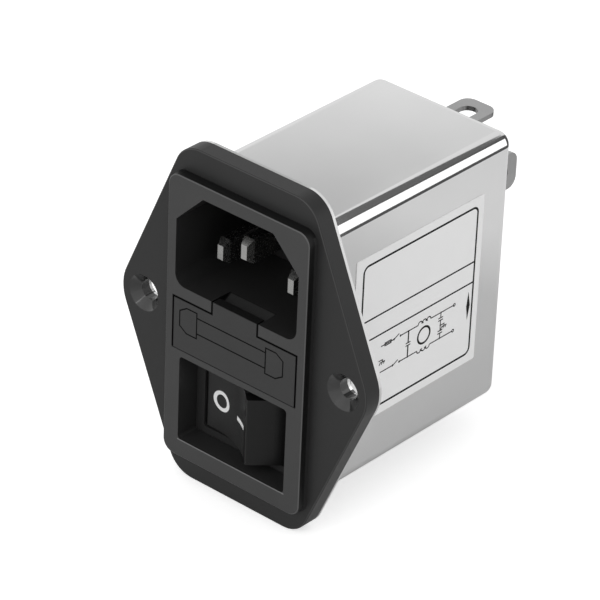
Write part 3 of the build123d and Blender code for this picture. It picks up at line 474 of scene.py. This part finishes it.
def dress_frame():
    """Give every carried-over piece the finish of its material slot."""
    finishes = {
        "housing_plastic": housing_plastic(),
        "rocker_plastic": rocker_plastic(),
        "case_steel": drawn_steel(),
        "label_film": label_film(),
        "pin_metal": metal("pin_metal", (0.44, 0.44, 0.43), 0.26),
        "tab_metal": metal("tab_metal", (0.38, 0.38, 0.38), 0.30),
        "rivet_metal": metal("rivet_metal", (0.42, 0.42, 0.42), 0.30),
        "contact_brass": metal("contact_brass", (0.75, 0.55, 0.22), 0.30),
        "spring_metal": metal("spring_metal", (0.60, 0.60, 0.58), 0.25),
        "clip_metal": metal("clip_metal", (0.68, 0.64, 0.55), 0.28),
        "fuse_glass": fuse_glass(),
        "fuse_cap_metal": metal("fuse_cap_metal", (0.72, 0.72, 0.70), 0.18),
        "fuse_wire": metal("fuse_wire", (0.60, 0.60, 0.58), 0.30),
        "plunger_plastic": solid("plunger_plastic", (0.72, 0.68, 0.58), 0.42),
        "insulator_plastic": solid("insulator_plastic", (0.035, 0.033, 0.032), 0.45),
        "board_laminate": solid("board_laminate", (0.42, 0.25, 0.10), 0.55),
        "core_coating": solid("core_coating", (0.05, 0.17, 0.08), 0.35),
        "enamelled_wire": metal("enamelled_wire", (0.62, 0.24, 0.10), 0.25),
        "divider_plastic": solid("divider_plastic", (0.70, 0.69, 0.62), 0.45),
        "film_capacitor": solid("film_capacitor", (0.72, 0.50, 0.05), 0.30),
        "disc_capacitor": solid("disc_capacitor", (0.05, 0.14, 0.42), 0.25),
        "resistor_body": solid("resistor_body", (0.60, 0.48, 0.28), 0.35),
        "tinned_lead": metal("tinned_lead", (0.70, 0.70, 0.68), 0.25),
        "wire_brown": solid("wire_brown", (0.12, 0.05, 0.02), 0.45),
        "wire_blue": solid("wire_blue", (0.02, 0.07, 0.30), 0.45),
        "wire_green": striped_sleeve(),
    }
    for part in frame["record"]["subparts"]:
        node = frame["nodes"][part["node"]]
        finish = finishes[part["material_slot"]]
        if part["node"] == "fuse_drawer":
            finish = drawer_plastic()
        for slot in node.material_slots:
            slot.material = finish
        if not node.material_slots:
            node.data.materials.append(finish)


def linked(name, data):
    """New object of the scene with this data."""
    made = bpy.data.objects.new(name, data)
    bpy.context.scene.collection.objects.link(made)
    return made


def mesh_piece(name, points, faces, material):
    """New mesh object of one material."""
    data = bpy.data.meshes.new(name)
    data.from_pydata(points, [], faces)
    data.materials.append(material)
    return linked(name, data)


def plunger_springs():
    """Springs of the two plungers as new pieces on the rocker; the share of their length kept when
    pressed is worked out but not used.
    """
    joints = {joint["name"]: joint for joint in frame["record"]["behaviour"]["joints"]}
    for side in ("line", "neutral"):
        node = "plunger_spring_" + side
        joint = joints["plunger_" + side + "_press"]
        way = Vector(joint["axis"])
        coil = frame["nodes"][node].data.copy()
        ends = sorted((vertex.co.copy() for vertex in coil.vertices), key=way.dot)
        length = (ends[-1] - ends[0]).dot(way)
        piece = linked("spring_" + side, coil)
        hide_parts(node)
        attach(piece, "rocker")
        keep = 1 - joint["range_m"][1] / length
        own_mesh(piece)


# Print on the label and painted groove shade on the drawer: the faces that carry them, their
# thickness in metres, the widths of their lines in mm, and the least share of a line's width to
# which a sharp corner is reckoned
LABEL_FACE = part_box("rating_label")[1].x
DRAWER_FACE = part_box("fuse_drawer")[0].y
PRINT_AND_SHADE_T = 0.012 * MM
THIN, LINE, BOLD, FUSE_LINE = 0.19, 0.28, 0.36, 0.21
SHARPEST = 0.3
ARC_STEPS, CIRCLE_STEPS = 8, 12

# Rating label: radius of its corners, border, rules across it and spindle, in mm
LABEL_CORNER_R = 0.3
BORDER_Y0, BORDER_Y1, BORDER_Z0, BORDER_Z1, BORDER_R = 7.7, 34.1, -12.3, 13.7, 1.1
RULES_Z = (4.0, 0.4)
SPINDLE = ((33.1, -1.0), (32.75, -3.5), (33.1, -6.0), (33.6, -3.5))

# Diagram on the label, in mm: its two lines, and the places and sizes of its symbols
LIVE_Z, NEUTRAL_Z = -1.9, -6.5
MID_Z = (LIVE_Z + NEUTRAL_Z) / 2
DIAGRAM_Y0, DIAGRAM_Y1 = 12.6, 29.5
SWITCH_Y0, SWITCH_Y1, LEVER_SHORT, LEVER_RISE = 15.6, 17.1, 0.35, 0.5
PLATES_Y, CHOKE_Y, FORK_Y, TERMINAL_Y = 19.0, 22.7, 26.6, DIAGRAM_Y1 + 0.25
EARTH_Y, EARTH_Z = DIAGRAM_Y0 - 0.4, MID_Z - 0.2
BOX_Y0, BOX_Y1, BOX_HALF_H = DIAGRAM_Y0 + 0.9, DIAGRAM_Y0 + 2.3, 0.25
HUMPS, HUMP_R, HUMP_STEPS = 3, 0.5, 5
CHOKE_R, CHOKE_STEPS = 1.42, 32
PLATE_HALF_L, PLATE_HALF_GAP = 0.55, 0.22
NODE_R, POLE_R, TERMINAL_R = 0.17, 0.2, 0.22
CHASSIS_LEAD, CHASSIS_DROP, CHASSIS_HALF_L = 0.9, 0.4, 0.6
TICKS, TICK_STEP, TICK_SLANT = 3, 0.5, 0.25

# Fuse drawn on the drawer's face, in mm: the ends of its tube and the form of its two caps
TUBE_X0, TUBE_X1, TUBE_Z0, TUBE_Z1 = -7.5, 6.3, -1.13, 1.57
CAP_L, CAP_Z0, CAP_Z1, CAP_CUT_X, CAP_CUT_Z = 3.45, -2.0, 2.4, 1.4, 0.9


def stroke(points, width, closed=False):
    """Flat outline of a line drawn through points, as one quad strip with mitred corners."""
    count = len(points)
    rails = []
    for n, point in enumerate(points):
        before = points[n - 1] if n or closed else None
        after = points[(n + 1) % count] if n < count - 1 or closed else None
        directions = []
        if before is not None:
            directions.append((point - before).normalized())
        if after is not None:
            directions.append((after - point).normalized())
        along = sum(directions, Vector((0, 0))).normalized()
        side = Vector((-along.y, along.x))
        reach = width / 2 / max(SHARPEST, abs(side.dot(Vector((-directions[0].y, directions[0].x)))))
        rails.append((point + side * reach, point - side * reach))
    return rails


def arc(middle, radius, start, finish, steps=ARC_STEPS):
    """Points along an arc, with its angles in degrees."""
    turns = [math.radians(start + (finish - start) * n / steps) for n in range(steps + 1)]
    return [Vector((middle[0] + radius * math.cos(t), middle[1] + radius * math.sin(t))) for t in turns]


def circle(middle, radius, steps=CIRCLE_STEPS):
    """Points round a circle."""
    return arc(middle, radius, 0, 360, steps)[:-1]


def rounded(y0, z0, y1, z1, r):
    """Outline of a rectangle with rounded corners."""
    turns = ((y1 - r, z1 - r, 0), (y0 + r, z1 - r, 90), (y0 + r, z0 + r, 180), (y1 - r, z0 + r, 270))
    return [point for y, z, start in turns for point in arc((y, z), r, start, start + 90)]


def prism_faces(base, count):
    """Faces of a prism between two rings of points, of which the second is on the outside."""
    faces = [tuple(base + count + n for n in range(count))]
    faces.append(tuple(base + n for n in reversed(range(count))))
    for n in range(count):
        m = (n + 1) % count
        faces.append((base + n, base + m, base + count + m, base + count + n))
    return faces


class PrintAndShade:
    """Flat lines of print and of painted groove shade, gathered into one thin raised mesh on a face
    where place gives the points.
    """

    def __init__(self, place):
        self.place = place
        self.points = []
        self.faces = []

    def slab(self, outline):
        """Thin prism over a convex outline in the two directions of the face."""
        self.faces += prism_faces(len(self.points), len(outline))
        for rise in (0, PRINT_AND_SHADE_T):
            self.points += [self.place(u * MM, v * MM, rise) for u, v in outline]

    def line(self, points, width, closed=False):
        """Line through points, made of short slabs."""
        rails = stroke([Vector(p) for p in points], width, closed)
        pairs = list(zip(rails, rails[1:] + rails[:1] if closed else rails[1:]))
        for (a, b), (c, d) in pairs:
            self.slab([b, d, c, a])

    def dot(self, middle, radius):
        """Filled round dot."""
        self.slab(circle(middle, radius))


def label_frame(ink_and_shade):
    """Rounded border with the two rules across it."""
    ink_and_shade.line(rounded(BORDER_Y0, BORDER_Z0, BORDER_Y1, BORDER_Z1, BORDER_R), BOLD, closed=True)
    for z in RULES_Z:
        ink_and_shade.line([(BORDER_Y0, z), (BORDER_Y1, z)], LINE)


def winding(ink_and_shade, z, side):
    """Winding of the choke: small humps on a line, towards one side."""
    points = []
    for n in range(HUMPS):
        middle = (CHOKE_Y + (2 * n + 1 - HUMPS) * HUMP_R, z)
        points += arc(middle, HUMP_R, 180, 180 - 180 * side, HUMP_STEPS)
    ink_and_shade.line(points, THIN)


def plates(ink_and_shade, y, z):
    """Capacitor: two short plates with a gap."""
    for edge in (z - PLATE_HALF_GAP, z + PLATE_HALF_GAP):
        ink_and_shade.line([(y - PLATE_HALF_L, edge), (y + PLATE_HALF_L, edge)], THIN)


def chassis(ink_and_shade, y, z):
    """Chassis mark: a lead that turns down to a short bar with slanted ticks."""
    middle, bar = y + CHASSIS_LEAD, z - CHASSIS_DROP
    ink_and_shade.line([(y, z), (middle, z), (middle, bar)], THIN)
    ink_and_shade.line([(middle - CHASSIS_HALF_L, bar), (middle + CHASSIS_HALF_L, bar)], THIN)
    for n in range(TICKS):
        start = middle + (n - (TICKS - 1) / 2) * TICK_STEP
        ink_and_shade.line([(start, bar), (start - TICK_SLANT, bar - CHASSIS_DROP)], THIN)


def circuit(ink_and_shade):
    """Drawing of the filter: fuse, switch poles, capacitors and ring choke between two lines."""
    choke_half = HUMPS * HUMP_R
    for z, side in ((LIVE_Z, 1), (NEUTRAL_Z, -1)):
        ink_and_shade.line([(DIAGRAM_Y0, z), (SWITCH_Y0, z)], THIN)
        ink_and_shade.dot((SWITCH_Y0, z), POLE_R)
        ink_and_shade.line([(SWITCH_Y0, z), (SWITCH_Y1 - LEVER_SHORT, z + LEVER_RISE)], THIN)
        ink_and_shade.dot((SWITCH_Y1, z), POLE_R)
        ink_and_shade.line([(SWITCH_Y1, z), (CHOKE_Y - choke_half, z)], THIN)
        winding(ink_and_shade, z, side)
        ink_and_shade.line([(CHOKE_Y + choke_half, z), (DIAGRAM_Y1, z)], THIN)
        ink_and_shade.line(circle((TERMINAL_Y, z), TERMINAL_R), THIN, closed=True)
        for y in (PLATES_Y, FORK_Y):
            ink_and_shade.dot((y, z), NODE_R)
    low, high = LIVE_Z - BOX_HALF_H, LIVE_Z + BOX_HALF_H
    ink_and_shade.line([(BOX_Y0, low), (BOX_Y1, low), (BOX_Y1, high), (BOX_Y0, high)], THIN, closed=True)
    ink_and_shade.line([(PLATES_Y, LIVE_Z), (PLATES_Y, MID_Z + PLATE_HALF_GAP)], LINE)
    ink_and_shade.line([(PLATES_Y, MID_Z - PLATE_HALF_GAP), (PLATES_Y, NEUTRAL_Z)], LINE)
    plates(ink_and_shade, PLATES_Y, MID_Z)
    ink_and_shade.line(circle((CHOKE_Y, MID_Z), CHOKE_R, CHOKE_STEPS), BOLD, closed=True)
    for z in (LIVE_Z, NEUTRAL_Z):
        middle = (z + MID_Z) / 2
        step = math.copysign(PLATE_HALF_GAP, z - MID_Z)
        ink_and_shade.line([(FORK_Y, z), (FORK_Y, middle + step)], THIN)
        ink_and_shade.line([(FORK_Y, middle - step), (FORK_Y, MID_Z)], THIN)
        plates(ink_and_shade, FORK_Y, middle)
    ink_and_shade.dot((FORK_Y, MID_Z), NODE_R)
    chassis(ink_and_shade, FORK_Y, MID_Z)
    chassis(ink_and_shade, EARTH_Y, EARTH_Z)


def on_label(y, z, rise):
    """Point on the label's face."""
    return (LABEL_FACE + rise, y, z)


def on_drawer(x, z, rise):
    """Point on the drawer's face."""
    return (x, DRAWER_FACE - rise, z)


def label_sheet():
    """Film of the rating label, with its nearly square corners."""
    low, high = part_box("rating_label")
    outline = rounded(low.y, low.z, high.y, high.z, LABEL_CORNER_R * MM)
    points = [(x, y, z) for x in (low.x, high.x) for y, z in outline]
    piece = mesh_piece("label_sheet", points, prism_faces(0, len(outline)), label_film())
    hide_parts("rating_label")
    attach(piece, "filter")


def label_print():
    """All the print of the rating label as one piece."""
    ink_and_shade = PrintAndShade(on_label)
    label_frame(ink_and_shade)
    circuit(ink_and_shade)
    ink_and_shade.slab(SPINDLE)
    piece = mesh_piece("label_print", ink_and_shade.points, ink_and_shade.faces, print_ink())
    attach(piece, "filter")


def cap_outline(x, outward):
    """End cap of the drawn fuse, with its two outer corners cut."""
    end = x + outward * CAP_L
    inner = end - outward * CAP_CUT_X
    return [
        (x, CAP_Z0),
        (inner, CAP_Z0),
        (end, CAP_Z0 + CAP_CUT_Z),
        (end, CAP_Z1 - CAP_CUT_Z),
        (inner, CAP_Z1),
        (x, CAP_Z1),
    ]


def fuse_drawing():
    """Outline of a fuse on the face of the drawer, drawn as painted shade of its fine grooves."""
    ink_and_shade = PrintAndShade(on_drawer)
    for z in (TUBE_Z0, TUBE_Z1):
        ink_and_shade.line([(TUBE_X0, z), (TUBE_X1, z)], FUSE_LINE)
    ink_and_shade.line(cap_outline(TUBE_X0, -1), FUSE_LINE, closed=True)
    ink_and_shade.line(cap_outline(TUBE_X1, 1), FUSE_LINE, closed=True)
    # painted shade of the fuse symbol's grooves
    piece = mesh_piece("fuse_drawing", ink_and_shade.points, ink_and_shade.faces, groove_shade())
    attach(piece, "drawer")


def camera():
    """Camera at the photograph's place, with its small roll."""
    az, el, roll = (math.radians(a) for a in (CAMERA_AZIMUTH, CAMERA_ELEVATION, CAMERA_ROLL))
    back = Vector((math.sin(az) * math.cos(el), -math.cos(az) * math.cos(el), math.sin(el)))
    level = Vector((math.cos(az), math.sin(az), 0.0))
    upright = back.cross(level)
    right = level * math.cos(roll) + upright * math.sin(roll)
    up = upright * math.cos(roll) - level * math.sin(roll)
    data = bpy.data.cameras.new("camera")
    data.lens = LENS_MM
    data.sensor_width = SENSOR_MM
    data.clip_start = 0.01
    made = linked("camera", data)
    turned = Matrix((right, up, back)).transposed().to_4x4()
    made.matrix_world = Matrix.Translation(CAMERA_PLACE) @ turned
    bpy.context.scene.camera = made


def surroundings():
    """White surroundings where they are seen, and softer light where they only shine on things."""
    world = bpy.data.worlds.new("studio")
    bpy.context.scene.world = world
    world.use_nodes = True
    background = world.node_tree.nodes["Background"]
    sky = Tree(world.node_tree)
    seen = sky.ray("Camera") | sky.ray("Glossy") | sky.ray("Transmission")
    sky.feed(background.inputs["Color"], grey(1.0))
    strength = sky.node("ShaderNodeMix", {"data_type": "FLOAT"}, {0: seen, 2: SKY_LIGHT, 3: 1.0})
    sky.feed(background.inputs["Strength"], strength)


def floor():
    """Pale floor under the part, lifted to white where the camera sees it, with a painted glow
    that only mirrors see, darker near the part as painted shade.
    """
    finish = Finish("floor", roughness=0.9)
    cloud = finish.noise(3.0)
    finish.set(Base_Color=finish.colours(cloud, grey(FLOOR_COLOUR * 0.99), grey(FLOOR_COLOUR)))
    x, y, z = finish.xyz()
    # painted reflection: a glow that only mirrors see, darker near the part as painted shade
    far = ((y + x * FAR_SLANT - FAR_START) / FAR_RUN & 1.0) | 0.0
    painted_reflection = finish.colours(far, grey(FLOOR_MIRROR_SHADE), grey(FLOOR_MIRROR_GLOW))
    mirrored = finish.ray("Glossy") | finish.ray("Transmission")
    lift = finish.colours(mirrored, grey(0.0), painted_reflection)
    shown = finish.colours(finish.ray("Camera"), lift, grey(FLOOR_LIFT))
    finish.set(Emission_Color=shown, Emission_Strength=1.0)
    half = FLOOR_SIZE / 2
    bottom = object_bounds()[0].z
    corners = ((-half, -half), (half, -half), (half, half), (-half, half))
    points = [(u, v, bottom) for u, v in corners]
    piece = mesh_piece("floor", points, [(0, 1, 2, 3)], finish.material)
    piece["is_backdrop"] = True


def mirror_way(point, normal):
    """Way that the camera's line of sight goes on from a polished point of the can."""
    sight = (point - CAMERA_PLACE).normalized()
    return sight - 2 * sight.dot(normal) * normal


def edge_point(turn, tilt, y):
    """Point and normal on the can's upper right edge: turn from top to side, tilt to the back."""
    t, b = math.radians(turn), math.radians(tilt)
    normal = Vector((math.sin(t) * math.cos(b), math.sin(b), math.cos(t) * math.cos(b)))
    return Vector((CAN_HALF_W - CAN_R, y, CAN_HALF_H - CAN_R)) + normal * CAN_R, normal


def card(name, rows, level):
    """Card through rows of points, which only polished surfaces see."""
    across = len(rows[0])
    points = [point for row in rows for point in row]
    faces = []
    for r in range(len(rows) - 1):
        for c in range(across - 1):
            n = r * across + c
            faces.append((n, n + 1, n + across + 1, n + across))
    finish = Finish(name, roughness=1.0)
    finish.set(Base_Color=grey(0.0), Specular_IOR_Level=0.0)
    finish.set(Emission_Color=grey(level), Emission_Strength=1.0)
    piece = mesh_piece(name, points, faces, finish.material)
    piece.visible_camera = False
    piece.visible_diffuse = False
    piece.visible_transmission = False
    piece.visible_shadow = False
    piece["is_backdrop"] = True
    return finish


def edge_card(name, front, rear, last_tilt, reach, level):
    """Card mirrored in the can's long edge between turns at its front and at its rear."""
    rows = []
    for n in range(CARD_STEPS + 1):
        share = n / CARD_STEPS
        at_front, at_rear = (first + (last - first) * share for first, last in (front, rear))
        places = [(at_front, 0, 0.0)]
        for k in range(TILT_STEPS + 1):
            places.append((at_rear, last_tilt * k / TILT_STEPS, CAN_DEPTH - CAN_R))
        row = []
        for turn, tilt, y in places:
            point, normal = edge_point(turn, tilt, y)
            row.append(point + mirror_way(point, normal) * reach)
        rows.append(row)
    card(name, rows, level)


def climb(x, y):
    """How far a place is on the way to the rear left, along which the top card brightens."""
    return y * CLIMB_Y + x * CLIMB_X


def top_card():
    """Card mirrored in the can's top, brighter towards the rear left."""
    rows = []
    for y in (-TOP_BEFORE, CAN_DEPTH + TOP_BEYOND):
        spots = [Vector((side * CAN_HALF_W, y, CAN_HALF_H)) for side in (-1, 1)]
        rows.append([spot + mirror_way(spot, Vector((0, 0, 1))) * TOP_REACH for spot in spots])
    finish = card("card_top", rows, 1.0)
    x, y, z = finish.xyz()
    first = climb(rows[0][1].x, rows[0][1].y)
    last = climb(rows[1][0].x, rows[1][0].y)
    share = (climb(x, y) - first) / (last - first)
    finish.set(Emission_Color=finish.colours(share, grey(TOP_DARK), grey(TOP_BRIGHT)))


def cards():
    """Cards that draw the bands along the rounded edge of the can and the shading of its top."""
    for values in EDGE_CARDS:
        edge_card(*values)
    top_card()


def softbox(name, place, size, power):
    """Square soft light that faces the part."""
    data = bpy.data.lights.new(name, "AREA")
    data.size = size
    data.energy = power
    made = linked(name, data)
    made.location = place
    made.rotation_euler = (LAMP_TARGET - place).to_track_quat("-Z", "Y").to_euler()


def lights():
    """One large soft light from the front left, and a weaker one from the right."""
    softbox("key_light", KEY_PLACE, KEY_SIZE, KEY_POWER)
    softbox("fill_light", FILL_PLACE, FILL_SIZE, FILL_POWER)


bpy.context.scene.view_settings.view_transform = "Standard"
dress_frame()
plunger_springs()
label_sheet()
label_print()
fuse_drawing()
surroundings()
floor()
cards()
lights()
camera()
